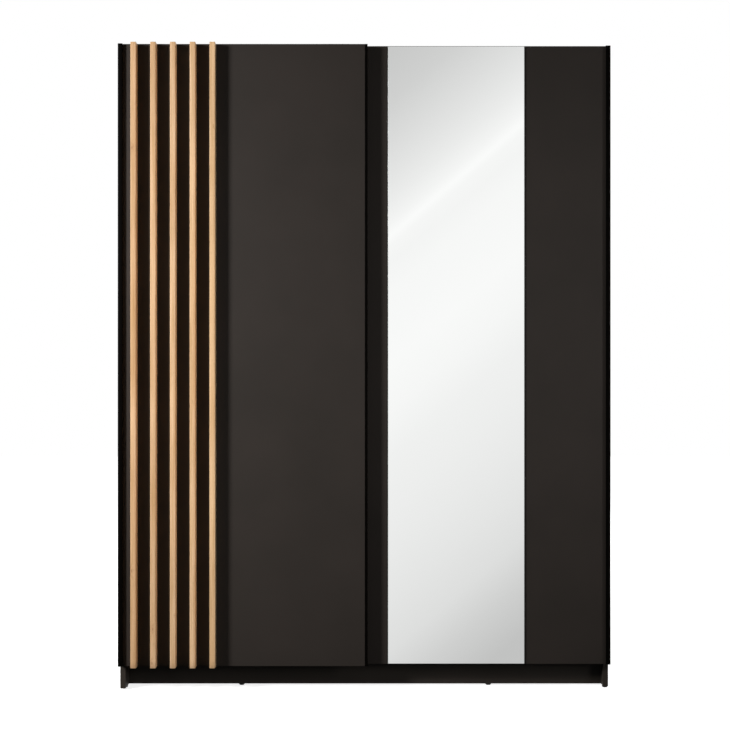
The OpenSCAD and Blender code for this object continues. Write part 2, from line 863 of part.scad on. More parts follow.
left_side_panel();
right_side_panel();
top_panel();
bottom_panel();
centre_partition();
plinth(plinth_front_y);  // front_plinth
plinth(rear_plinth_y);  // rear_plinth
back_panel(-carcass_half + 1, -joiner_web / 2);  // back_panel_left
back_panel(joiner_web / 2, carcass_half - 1);  // back_panel_right
back_joiner();
hat_shelf(-inner_half, -partition_half);  // hat_shelf_left
hat_shelf(partition_half, inner_half);  // hat_shelf_right
for (i = [1 : shelf_count]) loose_shelf(i);
hanging_rail();
rail_brackets();
shelf_pins();
floor_glides();
cam_locks();
cam_bolts();
wood_dowels();
confirmat_screws();
small_screws();
running_track();
guide_track();
track_end_stops();
front_door_panel();
front_door_handle();
front_door_edge_profile();
for (i = [1 : slat_count]) slat(i);
slat_screws();
front_hanger(1);  // front_hanger_left
front_hanger(2);  // front_hanger_right
front_axles();
front_guides();
front_door_screws();
for (k = numbers) front_wheel(k);
rear_door_panel();
rear_door_handle();
rear_door_edge_profile();
mirror_glass();  // mirror
mirror_tape();
rear_hanger(2);  // rear_hanger_left
rear_hanger(1);  // rear_hanger_right
rear_axles();
rear_guides();
rear_door_screws();
for (k = numbers) rear_wheel(k);
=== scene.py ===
# %% [markdown]
# # A sliding wardrobe with oak slats and a long mirror
#
# The wardrobe is 1.52 m wide, 2.00 m high and 0.61 m deep. Its two doors hang on a double
# track: the left one carries five oak slats, the right one a frameless mirror. A CAD model
# gives every board, wheel and screw its place. This file gives them their looks: softened
# edges, wood grain, satin and polished metal, plastics, and the light they are seen in.
#
# Lengths are in metres in Blender. Sizes that a joiner would know in millimetres are
# written in millimetres here and turned with `MM`.

# %% Load the frame
import math

import bpy
import numpy as np
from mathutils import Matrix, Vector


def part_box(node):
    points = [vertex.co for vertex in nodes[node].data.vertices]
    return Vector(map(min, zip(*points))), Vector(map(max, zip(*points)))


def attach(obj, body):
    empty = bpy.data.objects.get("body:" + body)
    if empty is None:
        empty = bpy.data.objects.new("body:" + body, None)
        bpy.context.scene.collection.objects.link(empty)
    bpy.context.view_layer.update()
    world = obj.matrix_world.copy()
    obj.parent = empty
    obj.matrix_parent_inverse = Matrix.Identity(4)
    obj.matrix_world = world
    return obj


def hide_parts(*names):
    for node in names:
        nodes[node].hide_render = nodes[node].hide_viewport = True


MM = 0.001

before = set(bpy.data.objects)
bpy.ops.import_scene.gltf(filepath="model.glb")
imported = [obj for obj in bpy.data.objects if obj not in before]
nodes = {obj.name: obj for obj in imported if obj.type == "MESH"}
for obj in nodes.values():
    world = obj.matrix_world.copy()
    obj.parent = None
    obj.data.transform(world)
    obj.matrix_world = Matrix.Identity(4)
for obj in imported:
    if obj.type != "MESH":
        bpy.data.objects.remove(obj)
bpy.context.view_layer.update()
print("nodes in the frame:", len(nodes))

# %% [markdown]
# ## Camera
#
# The wardrobe is looked at straight on, from a little over four metres away, with the eye
# at half its height. Tilting the camera could centre the picture, but then the uprights
# would lean together. So the camera stays level, and a small lens shift moves the picture,
# as an architect's camera does. The lens is a little longer than a standard one, which
# keeps the step between the two doors small.

# %% Camera
CAMERA_AT = (0.0, -4.275, 1.038)
LENS = 64.05
SHIFT = (0.0, -0.01365)

camera_data = bpy.data.cameras.new("camera")
camera_data.lens = LENS
camera_data.shift_x, camera_data.shift_y = SHIFT
camera = bpy.data.objects.new("camera", camera_data)
camera.location = CAMERA_AT
camera.rotation_euler = (math.radians(90), 0, 0)
bpy.context.collection.objects.link(camera)
bpy.context.scene.camera = camera
bpy.context.scene.view_settings.view_transform = "Standard"
print("camera at", CAMERA_AT, "with a lens of", LENS, "mm")

# %% [markdown]
# ## Two small helpers for materials
#
# Paint and laminate makers give colours as sRGB hex codes, but a shader works with linear
# light, so one function turns the first into the second. Nodes could be made and linked
# call by call. One function that adds a node with its settings and links keeps each
# material short enough to read as a recipe.

# %% Colours and nodes
def linear(code):
    """sRGB hex code to linear RGBA: each channel c becomes c/12.92 below 0.04045, and
    ((c + 0.055)/1.055)^2.4 above it."""
    c = np.array([int(code[i:i + 2], 16) for i in (1, 3, 5)]) / 255
    return (*np.where(c <= 0.04045, c / 12.92, ((c + 0.055) / 1.055) ** 2.4), 1.0)


def add(tree, kind, inputs=None, stops=(), **settings):
    """Adds one node. `stops` are a colour ramp's (position, hex code) pairs."""
    node = tree.nodes.new(kind)
    for name, value in settings.items():
        setattr(node, name, value)
    for place, value in (inputs or {}).items():
        if isinstance(value, bpy.types.NodeSocket):
            tree.links.new(value, node.inputs[place])
        else:
            node.inputs[place].default_value = value
    if stops:
        steps = node.color_ramp.elements
        steps.remove(steps[1])
        for i, (position, code) in enumerate(stops):
            step = steps[0] if i == 0 else steps.new(position)
            step.position, step.color = position, linear(code)
    return node


print("mid grey #808080 in linear light:", round(float(linear("#808080")[0]), 4))

# %% [markdown]
# ## Floor
#
# The wardrobe stands on the pale floor of a plain studio. A backdrop that curves up behind
# it is the usual way to a seamless white, but it would show in views from the back. So the
# floor is flat, and it glows a little by itself: more the further it is from the wardrobe,
# until it is as white as the backdrop. Only a soft shadow is left near the plinth.

# %% Floor
FLOOR_HALF = 9.0
FLOOR_GREY = (0.7, 0.7, 0.7, 1.0)
GLOW_NEAR, GLOW_FAR = 0.80, 1.0
# How far from the wardrobe's middle the floor's own glow starts and ends its rise
SHADOW_RADIUS = (0.9, 2.0)

floor_mesh = bpy.data.meshes.new("studio_floor")
floor_mesh.from_pydata(
    [(-FLOOR_HALF, -FLOOR_HALF, 0), (FLOOR_HALF, -FLOOR_HALF, 0),
     (FLOOR_HALF, FLOOR_HALF, 0), (-FLOOR_HALF, FLOOR_HALF, 0)], [], [(0, 1, 2, 3)])
floor = bpy.data.objects.new("studio_floor", floor_mesh)
bpy.context.collection.objects.link(floor)
floor.visible_glossy = False
floor.visible_diffuse = False

floor_finish = bpy.data.materials.new("studio_floor_paint")
floor_finish.use_nodes = True
floor_tree = floor_finish.node_tree
floor_tree.nodes.clear()
away = add(floor_tree, "ShaderNodeVectorMath", {
    0: add(floor_tree, "ShaderNodeTexCoord").outputs["Object"]}, operation="LENGTH")
white_out = add(floor_tree, "ShaderNodeMapRange", {
    "Value": away.outputs["Value"],
    "From Min": SHADOW_RADIUS[0], "From Max": SHADOW_RADIUS[1],
    "To Min": GLOW_NEAR, "To Max": GLOW_FAR}, interpolation_type="SMOOTHSTEP")
glow = add(floor_tree, "ShaderNodeEmission", {
    "Color": linear("#FFFFFF"), "Strength": white_out.outputs["Result"]})
matt = add(floor_tree, "ShaderNodeBsdfDiffuse", {"Color": FLOOR_GREY})
both = add(floor_tree, "ShaderNodeAddShader", {0: glow.outputs[0], 1: matt.outputs[0]})
add(floor_tree, "ShaderNodeOutputMaterial", {"Surface": both.outputs[0]})
floor_mesh.materials.append(floor_finish)
print("floor:", 2 * FLOOR_HALF, "m across, white from", SHADOW_RADIUS[1], "m out")

# %% [markdown]
# ## Surroundings
#
# A studio's walls give weak light from all sides. More lamps could do that, but a gradient
# in the world has no edges for gloss to show. It is stronger behind the wardrobe, where it
# can't flatten the slats' shadows.
#
# A mirror shows only what stands opposite it, here a bright wall whose light falls off
# along a slanting line. A real wall would stand in the way of other views. So the
# surroundings give its brightness to rays that leave a perfect mirror, and the gradient to
# all the others. Past its ends the wall runs back and forth, so that a slanting look into
# the mirror still finds it bright.

# %% Surroundings
FILL_BELOW = 0.05
FILL_ABOVE = 0.10
# The fill rises from below to above between these heights of a ray's direction
HORIZON = 0.45
# It is stronger for rays that point backwards, in full from this share of their length on
BEHIND_FROM = 0.3
BEHIND_TIMES = 8.0
# Where the mirrored wall's brightness changes: the share of the way down the slanting
# line, and the grey there
MIRRORED_WALL = [
    (0.02, "#CCCCCC"), (0.085, "#D3D3D3"), (0.155, "#E1E1E1"), (0.19, "#E8E8E8"),
    (0.222, "#EFEFEF"), (0.255, "#F8F8F8"), (0.272, "#FFFFFF"), (0.286, "#FAFAFA"),
    (0.31, "#F8F8F8"), (0.35, "#FBFBFB"), (0.45, "#FDFDFD"), (0.515, "#FAFAFA"),
    (0.58, "#F4F4F4"), (0.65, "#F1F1F1"), (0.715, "#EDEDED"), (0.78, "#E8E8E8"),
    (0.85, "#E1E1E1"), (0.91, "#D3D3D3"), (0.98, "#C5C5C5")]
SLANT_START = 0.408
SLANT_DOWN = -1.803
SLANT_ACROSS = 1.532
MIRRORED_STRENGTH = 1.06

world = bpy.data.worlds.new("studio")
bpy.context.scene.world = world
world.use_nodes = True
sky = world.node_tree
sky.nodes.clear()
ray = add(sky, "ShaderNodeLightPath")
way = add(sky, "ShaderNodeSeparateXYZ",
          {0: add(sky, "ShaderNodeTexCoord").outputs["Generated"]})
height = add(sky, "ShaderNodeMapRange", {
    "Value": way.outputs["Z"], "From Min": -HORIZON, "From Max": HORIZON,
    "To Min": FILL_BELOW, "To Max": FILL_ABOVE}, interpolation_type="SMOOTHSTEP")
ahead = add(sky, "ShaderNodeMath", {0: way.outputs["Y"]}, operation="ABSOLUTE")
down = add(sky, "ShaderNodeMath", {0: way.outputs["Z"], 1: ahead.outputs[0]},
           operation="DIVIDE")
across = add(sky, "ShaderNodeMath", {0: way.outputs["X"], 1: ahead.outputs[0]},
             operation="DIVIDE")
slant = add(sky, "ShaderNodeMath", {
    0: across.outputs[0], 1: SLANT_ACROSS, 2: SLANT_START}, operation="MULTIPLY_ADD")
slant = add(sky, "ShaderNodeMath", {
    0: down.outputs[0], 1: SLANT_DOWN, 2: slant.outputs[0]}, operation="MULTIPLY_ADD")
slant = add(sky, "ShaderNodeMath", {0: slant.outputs[0], 1: 1.0}, operation="PINGPONG")
wall = add(sky, "ShaderNodeValToRGB", {"Fac": slant.outputs[0]}, stops=MIRRORED_WALL)
behind = add(sky, "ShaderNodeMapRange", {
    "Value": way.outputs["Y"], "From Min": 0.0, "From Max": BEHIND_FROM,
    "To Min": 1.0, "To Max": BEHIND_TIMES}, interpolation_type="SMOOTHSTEP")
fill = add(sky, "ShaderNodeMath", {0: height.outputs["Result"], 1: behind.outputs["Result"]},
           operation="MULTIPLY")
plain = add(sky, "ShaderNodeBackground", {"Strength": fill.outputs[0]})
mirrored = add(sky, "ShaderNodeBackground", {
    "Color": wall.outputs["Color"], "Strength": MIRRORED_STRENGTH})
backdrop = add(sky, "ShaderNodeBackground", {"Color": linear("#FFFFFF"), "Strength": 1.0})
indirect = add(sky, "ShaderNodeMixShader", {
    0: ray.outputs["Is Singular Ray"], 1: plain.outputs[0], 2: mirrored.outputs[0]})
seen = add(sky, "ShaderNodeMixShader", {
    0: ray.outputs["Is Camera Ray"], 1: indirect.outputs[0], 2: backdrop.outputs[0]})
add(sky, "ShaderNodeOutputWorld", {"Surface": seen.outputs[0]})
print("surroundings:", len(sky.nodes), "nodes,", len(MIRRORED_WALL), "greys on the wall")

# %% [markdown]
# ## Softboxes
#
# A sun lamp would light both doors alike, but the left one gets nearly twice as much as the
# right one. So the main light is a softbox close by on the left. Its light meets the front
# at 53 to 60 degrees from square, and each slat and the front door's edge throw a shadow
# about half as wide again as they are deep. A much weaker one on the right comes in so flat
# that it reaches the slats' right faces, but not the board between them. The third one
# shapes the back.

# %% Softboxes
SOFTBOXES = {
    # name: place, point aimed at, width and height, spread in degrees, power in watts
    "softbox_left": ((-3.2, -2.16, 2.2), (-0.6, -0.26, 0.86), (0.62, 1.0), 100, 61.5),
    "softbox_right": ((3.55, -3.0, 1.6), (-0.95, -0.3, 0.9), (0.8, 1.6), 50, 8.2),
    "softbox_back": ((2.4, 3.8, 2.7), (0.0, 0.3, 1.0), (1.6, 1.6), 180, 110),
}
for name, (place, aim, size, spread, watts) in SOFTBOXES.items():
    lamp = bpy.data.lights.new(name, "AREA")
    lamp.shape = "RECTANGLE"
    lamp.size, lamp.size_y = size
    lamp.spread = math.radians(spread)
    lamp.energy = watts
    box = bpy.data.objects.new(name, lamp)
    box.location = place
    step = np.array(aim) - np.array(place)
    box.rotation_euler = (math.acos(step[2] / np.linalg.norm(step)) - math.pi, 0,
                          math.atan2(step[1], step[0]) + math.pi / 2)
    bpy.context.collection.objects.link(box)
    print(name, "at", place, "with", watts, "W")

# %% [markdown]
# ## Outlines
#
# Most parts of a wardrobe are one outline carried along a line: a slat, an extruded handle,
# an oval tube. A cube with modifiers could stand for some of them, but not for a handle's
# section. So one function rounds an outline's corners, one carries it, and one turns a
# half-outline about an axis, as a lathe does. Each works out all its points as one array.

# %% Outlines
def rounded(corners, radii, steps=4):
    """A closed outline of right angles with each corner P rounded by radius r: with a and
    b the directions to its neighbours, the arc is P + r(a + b) - r(b cos t + a sin t)
    for t from 0 to 90 degrees."""
    p = np.asarray(corners, float)
    r = np.broadcast_to(np.asarray(radii, float), len(p))[:, None, None]
    a = np.roll(p, 1, axis=0) - p
    b = np.roll(p, -1, axis=0) - p
    a = (a / np.linalg.norm(a, axis=1, keepdims=True))[:, None]
    b = (b / np.linalg.norm(b, axis=1, keepdims=True))[:, None]
    t = np.linspace(0, math.pi / 2, steps + 1)[None, :, None]
    arc = p[:, None] + r * (a + b) - r * (b * np.cos(t) + a * np.sin(t))
    return arc.reshape(-1, 2)


def inwards(outline):
    """Unit vectors that point into a closed outline: each is square to the line between
    the point's two neighbours, and the sign comes from the outline's area."""
    along = np.roll(outline, -1, axis=0) - np.roll(outline, 1, axis=0)
    x, y = outline.T
    turn = np.sign(np.sum(x * np.roll(y, -1) - y * np.roll(x, -1)))
    square = np.stack([-along[:, 1], along[:, 0]], axis=1) * turn
    return square / np.linalg.norm(square, axis=1, keepdims=True)


def rectangle(low, high):
    """The four corners of a rectangle, anticlockwise."""
    return [(low[0], low[1]), (high[0], low[1]), (high[0], high[1]), (low[0], high[1])]


def carried(outline, stations, insets, order=(0, 1, 2)):
    """The outline at every station, moved inwards by that station's inset. The first two
    coordinates are the outline's and the third is the station's; `order` says which of
    them become X, Y and Z."""
    outline = np.asarray(outline, float)
    insets = np.asarray(insets, float)
    insets = insets[:, None] if insets.ndim == 1 else insets
    flat = outline[None] + inwards(outline)[None] * insets[..., None]
    third = np.broadcast_to(np.asarray(stations, float)[:, None, None], flat.shape[:2] + (1,))
    return np.concatenate([flat, third], axis=2)[..., list(order)]


def turned(profile, segments):
    """A half-outline of (radius, height) pairs turned about Z: x = r cos a, y = r sin a."""
    r, h = np.asarray(profile, float).T
    a = np.linspace(0, 2 * math.pi, segments, endpoint=False)
    return np.stack([r[:, None] * np.cos(a), r[:, None] * np.sin(a),
                     np.repeat(h[:, None], segments, axis=1)], axis=2)


square = rounded(rectangle((0, 0), (1, 1)), 0.1)
print("a square with rounded corners has", len(square), "points")

# %% [markdown]
# ## Skin
#
# Rows of points become a closed mesh when each row is joined to the next and lids close the
# ends. Blender could be asked afterwards which way is out. The sign of the mesh's volume
# tells it too, with one sum over the faces, and leaves nothing to be guessed.

# %% Skin
SHARP = math.radians(38)


def skin(name, rows, finishes, ring=False, finish_of_row=None, smooth=True):
    """A closed mesh over rows of points, given as (copies, rows, points, 3) in metres.
    Each row is a closed loop. The last row joins the first if `ring`, and otherwise both
    end rows get a lid. The sum of (b - a) x (c - a) . a over all triangles a, b, c is six
    times the volume, and the faces are flipped where it is negative. finish_of_row gives
    each strip between rows its finish."""
    rows = np.asarray(rows, float)
    rows = rows[None] if rows.ndim == 3 else rows
    copies, k, n, _ = rows.shape
    strips = k if ring else k - 1
    i = np.arange(strips)[:, None] * n
    j = np.arange(n)[None]
    upper = (np.arange(1, strips + 1) % k)[:, None] * n
    quads = np.stack([i + j, i + (j + 1) % n, upper + (j + 1) % n, upper + j], axis=2)
    quads = quads.reshape(-1, 4)
    first = rows[0].reshape(-1, 3)
    a, b, c, d = (first[quads[:, m]] for m in range(4))
    volume = np.sum(np.cross(b - a, c - a) * a) + np.sum(np.cross(c - a, d - a) * a)
    lids = []
    if not ring:
        lids = [np.arange(n)[::-1], np.arange(n) + (k - 1) * n]
        for lid in lids:
            p = first[lid]
            volume += np.sum(np.cross(p[1:-1] - p[0], p[2:] - p[0]) * p[0])
    flip = -1 if volume < 0 else 1
    offsets = np.arange(copies) * k * n
    faces = [f for o in offsets for f in (quads[:, ::flip] + o).tolist()]
    faces += [(lid[::flip] + o).tolist() for o in offsets for lid in lids]
    mesh = bpy.data.meshes.new(name)
    mesh.from_pydata(rows.reshape(-1, 3), [], faces)
    for finish in finishes:
        mesh.materials.append(finish)
    if finish_of_row is not None:
        index = np.tile(np.repeat(finish_of_row[:strips], n), copies)
        ends = np.tile([finish_of_row[0], finish_of_row[-1]], copies)[:copies * len(lids)]
        index = np.concatenate([index, ends]).astype(np.int32)
        mesh.polygons.foreach_set("material_index", index)
    if smooth:
        mesh.set_sharp_from_angle(angle=SHARP)
    mesh.update()
    piece = bpy.data.objects.new(name, mesh)
    bpy.context.collection.objects.link(piece)
    print(name, "has", len(mesh.polygons), "faces")
    return piece


# %% [markdown]
# ## Graphite board
#
# The doors and the carcass are chipboard faced with melamine-soaked decor paper, pressed
# against a finely structured plate. That gives an even, dark, matt face with a dull sheen.
# The cut edges are covered with a 1 mm ABS band in the same colour: it is a little
# smoother, and a hairline shows where it meets the face.
#
# The bands could be pieces of their own, but at 1 mm only their gloss and the hairline
# show. So a board's material knows which way its bands run and where they are, and it
# draws the hairline 1 mm inside the real edge.

# %% Graphite board finish
DOOR_GRAPHITE = ("#2C2723", "#312B27")
# The carcass boards come from another pressing, a shade lighter
CARCASS_GRAPHITE = ("#322D28", "#38322D")
BAND = 1.0 * MM
HAIRLINE = 0.12 * MM
HAIRLINE_TONE = "#1E1B19"
# The plate's structure is about 0.4 mm from crest to crest, and is drawn at 1.2 mm
STRUCTURE = 1 / (1.2 * MM)
STRUCTURE_DEPTH = 0.05 * MM
# The print's tone drifts over about 200 mm
CLOUDS = 1 / (200 * MM)
FACE_ROUGHNESS = (0.42, 0.52)
BAND_ROUGHNESS = 0.38


def graphite_board(name, axis, low, high, tones=CARCASS_GRAPHITE):
    """Matt melamine whose banded edges are at `low` and `high` along an axis."""
    material = bpy.data.materials.new("graphite_melamine_" + name)
    material.use_nodes = True
    tree = material.node_tree
    shader = tree.nodes["Principled BSDF"]
    place = add(tree, "ShaderNodeTexCoord").outputs["Object"]
    parts = add(tree, "ShaderNodeSeparateXYZ", {0: place})
    off = add(tree, "ShaderNodeMath", {0: parts.outputs[axis], 1: (low + high) / 2},
              operation="SUBTRACT")
    off = add(tree, "ShaderNodeMath", {0: off.outputs[0]}, operation="ABSOLUTE")
    depth = add(tree, "ShaderNodeMath", {0: (high - low) / 2, 1: off.outputs[0]},
                operation="SUBTRACT")
    line = add(tree, "ShaderNodeMath", {0: depth.outputs[0], 1: BAND, 2: HAIRLINE},
               operation="COMPARE")
    band = add(tree, "ShaderNodeMath", {0: depth.outputs[0], 1: BAND}, operation="LESS_THAN")
    cloud = add(tree, "ShaderNodeTexNoise", {"Vector": place, "Scale": CLOUDS, "Detail": 3.0})
    grit = add(tree, "ShaderNodeTexNoise",
               {"Vector": place, "Scale": STRUCTURE, "Detail": 2.0, "Roughness": 0.6})
    mix = add(tree, "ShaderNodeMath", {
        0: grit.outputs["Fac"], 1: 0.35, 2: cloud.outputs["Fac"]}, operation="MULTIPLY_ADD")
    tone = add(tree, "ShaderNodeValToRGB", {"Fac": mix.outputs[0]},
               stops=[(0.45, tones[0]), (0.9, tones[1])])
    tone = add(tree, "ShaderNodeMix", {
        0: line.outputs[0], 6: tone.outputs["Color"], 7: linear(HAIRLINE_TONE)},
        data_type="RGBA")
    tree.links.new(tone.outputs[2], shader.inputs["Base Color"])
    rough = add(tree, "ShaderNodeMapRange", {
        "Value": grit.outputs["Fac"], "From Min": 0.3, "From Max": 0.7,
        "To Min": FACE_ROUGHNESS[0], "To Max": FACE_ROUGHNESS[1]})
    rough = add(tree, "ShaderNodeMix", {
        0: band.outputs[0], 2: rough.outputs["Result"], 3: BAND_ROUGHNESS})
    tree.links.new(rough.outputs[0], shader.inputs["Roughness"])
    flat = add(tree, "ShaderNodeMix", {0: band.outputs[0], 2: grit.outputs["Fac"], 3: 0.5})
    bump = add(tree, "ShaderNodeBump", {
        "Strength": 0.5, "Distance": STRUCTURE_DEPTH, "Height": flat.outputs[0]})
    tree.links.new(bump.outputs[0], shader.inputs["Normal"])
    shader.inputs["Specular IOR Level"].default_value = 0.34
    return material


print("board structure: a crest every", round(1000 / STRUCTURE, 1), "mm")

# %% [markdown]
# ## Oak
#
# The slats are planed and oiled oak, sawn so that the growth rings run along the slat as
# fine, nearly straight lines. Three things make it oak: broad, soft stripes of earlier and
# later wood, short dark pores like pen strokes, and now and then a small knot that the
# lines bend around. The sawn ends soak up more oil than the faces, so they are darker.
#
# A wave texture would give rings, but as regular as a ruler's. So stripes and pores are
# noise whose length is squeezed, and they come out long and narrow. Each slat is cut from
# another plank, so each has its own tone and its own part of the pattern.

# %% Oak finish
STRIPES = 1 / (6.5 * MM)
# Broader bands of lighter and darker wood, about 45 mm apart
BROAD = 22.0
# How much shorter the pattern is made along the slat
SQUEEZE = 0.035
PORES = 1 / (0.9 * MM)
PORE_TONE, PORE_SHARE = "#8E6840", 0.24
# Rings around a knot's core, as radians per core width, and how dark the core is
KNOT_RINGS = 5.5
KNOT_CORE = 0.32
KNOT_TONE = "#8A5A36"
# How far the grain is pushed aside at a knot
KNOT_PUSH = 9 * MM
END_TONE, END_SHARE = "#A07246", 0.45


def oak(name, light, dark, turn, knots):
    """Oiled oak. `turn` moves the pattern to another part of the tree. Each knot is
    (x, z, half width, half length): the distance from it, in those halves, pushes the
    grain aside, darkens the core, and drives the sine wave of its rings."""
    material = bpy.data.materials.new("oiled_oak_" + name)
    material.use_nodes = True
    tree = material.node_tree
    shader = tree.nodes["Principled BSDF"]
    place = add(tree, "ShaderNodeTexCoord").outputs["Object"]
    bend = away = None
    for x, z, wide, long in knots:
        near = add(tree, "ShaderNodeVectorMath", {0: place, 1: (x, 0, z)},
                   operation="SUBTRACT")
        near = add(tree, "ShaderNodeVectorMath", {
            0: near.outputs[0], 1: (1 / wide, 0, 1 / long)}, operation="MULTIPLY")
        near = add(tree, "ShaderNodeVectorMath", {0: near.outputs[0]}, operation="LENGTH")
        round_it = add(tree, "ShaderNodeMapRange", {
            "Value": near.outputs["Value"], "From Min": 0.3, "From Max": 2.6,
            "To Min": 1.0, "To Max": 0.0}, interpolation_type="SMOOTHSTEP")
        bend = round_it if bend is None else add(
            tree, "ShaderNodeMath", {0: bend.outputs[0], 1: round_it.outputs[0]},
            operation="MAXIMUM")
        away = near.outputs["Value"] if away is None else add(
            tree, "ShaderNodeMath", {0: away, 1: near.outputs["Value"]},
            operation="MINIMUM").outputs[0]
    squeezed = add(tree, "ShaderNodeMapping", {
        "Vector": place, "Location": (turn, 0.37 * turn, 0.0), "Scale": (1.0, 1.0, SQUEEZE)})
    where = squeezed.outputs[0]
    if bend is not None:
        aside = add(tree, "ShaderNodeCombineXYZ", {
            "X": add(tree, "ShaderNodeMath", {0: bend.outputs[0], 1: KNOT_PUSH},
                     operation="MULTIPLY").outputs[0]})
        where = add(tree, "ShaderNodeVectorMath", {0: where, 1: aside.outputs[0]}).outputs[0]
    stripes = add(tree, "ShaderNodeTexNoise", {
        "Vector": where, "Scale": STRIPES, "Detail": 5.0, "Roughness": 0.62,
        "Distortion": 0.25})
    broad = add(tree, "ShaderNodeTexNoise", {
        "Vector": add(tree, "ShaderNodeMapping", {
            "Vector": place, "Location": (turn, 0, turn),
            "Scale": (1.0, 1.0, 0.12)}).outputs[0],
        "Scale": BROAD, "Detail": 2.0})
    fine = add(tree, "ShaderNodeTexNoise", {
        "Vector": add(tree, "ShaderNodeMapping", {
            "Vector": where, "Scale": (1.0, 1.0, 2.2)}).outputs[0],
        "Scale": PORES, "Detail": 1.0})
    pores = add(tree, "ShaderNodeMapRange", {
        "Value": fine.outputs["Fac"], "From Min": 0.57, "From Max": 0.70})
    wave = add(tree, "ShaderNodeMath", {
        0: broad.outputs["Fac"], 1: 0.7, 2: stripes.outputs["Fac"]}, operation="MULTIPLY_ADD")
    tone = add(tree, "ShaderNodeMapRange", {
        "Value": wave.outputs[0], "From Min": 0.62, "From Max": 1.1})
    colour = add(tree, "ShaderNodeMix", {
        0: tone.outputs[0], 6: linear(dark), 7: linear(light)}, data_type="RGBA")
    weight = add(tree, "ShaderNodeMath", {0: pores.outputs[0], 1: PORE_SHARE},
                 operation="MULTIPLY")
    colour = add(tree, "ShaderNodeMix", {
        0: weight.outputs[0], 6: colour.outputs[2], 7: linear(PORE_TONE)}, data_type="RGBA")
    if bend is not None:
        warp = add(tree, "ShaderNodeMath", {
            0: away, 1: KNOT_RINGS, 2: stripes.outputs["Fac"]}, operation="MULTIPLY_ADD")
        ring = add(tree, "ShaderNodeMath", {0: warp.outputs[0]}, operation="SINE")
        ring = add(tree, "ShaderNodeMath", {0: ring.outputs[0], 1: 0.10, 2: 0.20},
                   operation="MULTIPLY_ADD")
        ring = add(tree, "ShaderNodeMath", {0: ring.outputs[0], 1: bend.outputs[0]},
                   operation="MULTIPLY")
        core = add(tree, "ShaderNodeMapRange", {
            "Value": away, "From Min": 0.25, "From Max": 0.75,
            "To Min": KNOT_CORE, "To Max": 0.0})
        core = add(tree, "ShaderNodeMath", {0: core.outputs[0], 1: ring.outputs[0]})
        colour = add(tree, "ShaderNodeMix", {
            0: core.outputs[0], 6: colour.outputs[2], 7: linear(KNOT_TONE)}, data_type="RGBA")
    facing = add(tree, "ShaderNodeSeparateXYZ",
                 {0: add(tree, "ShaderNodeNewGeometry").outputs["Normal"]})
    upright = add(tree, "ShaderNodeMath", {0: facing.outputs["Z"]}, operation="ABSOLUTE")
    end_grain = add(tree, "ShaderNodeMapRange", {
        "Value": upright.outputs[0], "From Min": 0.75, "From Max": 0.95,
        "To Max": END_SHARE})
    colour = add(tree, "ShaderNodeMix", {
        0: end_grain.outputs[0], 6: colour.outputs[2], 7: linear(END_TONE)}, data_type="RGBA")
    tree.links.new(colour.outputs[2], shader.inputs["Base Color"])
    rough = add(tree, "ShaderNodeMapRange", {
        "Value": wave.outputs[0], "From Min": 0.6, "From Max": 1.1,
        "To Min": 0.58, "To Max": 0.46})
    tree.links.new(rough.outputs[0], shader.inputs["Roughness"])
    grain = add(tree, "ShaderNodeMath", {
        0: pores.outputs[0], 1: -1.0, 2: stripes.outputs["Fac"]}, operation="MULTIPLY_ADD")
    bump = add(tree, "ShaderNodeBump", {
        "Strength": 0.6, "Distance": 0.1 * MM, "Height": grain.outputs[0]})
    tree.links.new(bump.outputs[0], shader.inputs["Normal"])
    shader.inputs["IOR"].default_value = 1.47
    shader.inputs["Specular IOR Level"].default_value = 0.35
    return material


print("oak stripes:", round(1000 / STRIPES, 1), "mm, pores:", round(1000 / PORES, 1), "mm")

# %% [markdown]
# ## Metals
#
# The profiles and tracks are extruded aluminium. The die leaves very fine lines along the
# profile, and anodising keeps them: dyed black and nearly lightless on the doors, natural
# silver on the running track. Hangers, screws and locks are steel with a thin, slightly
# blotchy, bluish zinc. The hanging rail is chromed, so it is smooth and mirror-bright.
#
# Each could have its own material, but they differ only in numbers. So they share one
# recipe: a streak pattern along the profile that varies the roughness, a soft cloud that
# varies the tone, and a bump from the streaks.

# %% Metal finishes
# A metal's tone drifts over about 17 mm, and its die lines are 0.02 mm deep
BLOTCHES = 60.0
DIE_LINES = 0.02 * MM


def metal(name, dark, light, rough, along, streak_mm, metallic=1.0, specular=0.5):
    """Streaked metal. `along` is the scale of the pattern in X, Y and Z, small along the
    streaks, and `rough` is the lowest and highest roughness."""
    material = bpy.data.materials.new(name)
    material.use_nodes = True
    tree = material.node_tree
    shader = tree.nodes["Principled BSDF"]
    place = add(tree, "ShaderNodeTexCoord").outputs["Object"]
    drawn = add(tree, "ShaderNodeMapping", {"Vector": place, "Scale": along})
    streaks = add(tree, "ShaderNodeTexNoise", {
        "Vector": drawn.outputs[0], "Scale": 1 / (streak_mm * MM), "Detail": 3.0})
    cloud = add(tree, "ShaderNodeTexNoise", {
        "Vector": place, "Scale": BLOTCHES, "Detail": 4.0})
    tone = add(tree, "ShaderNodeValToRGB", {"Fac": cloud.outputs["Fac"]},
               stops=[(0.35, dark), (0.68, light)])
    tree.links.new(tone.outputs["Color"], shader.inputs["Base Color"])
    level = add(tree, "ShaderNodeMapRange", {
        "Value": streaks.outputs["Fac"], "From Min": 0.3, "From Max": 0.7,
        "To Min": rough[0], "To Max": rough[1]})
    tree.links.new(level.outputs[0], shader.inputs["Roughness"])
    bump = add(tree, "ShaderNodeBump", {
        "Strength": 0.35, "Distance": DIE_LINES, "Height": streaks.outputs["Fac"]})
    tree.links.new(bump.outputs[0], shader.inputs["Normal"])
    shader.inputs["Metallic"].default_value = metallic
    shader.inputs["Specular IOR Level"].default_value = specular
    return material


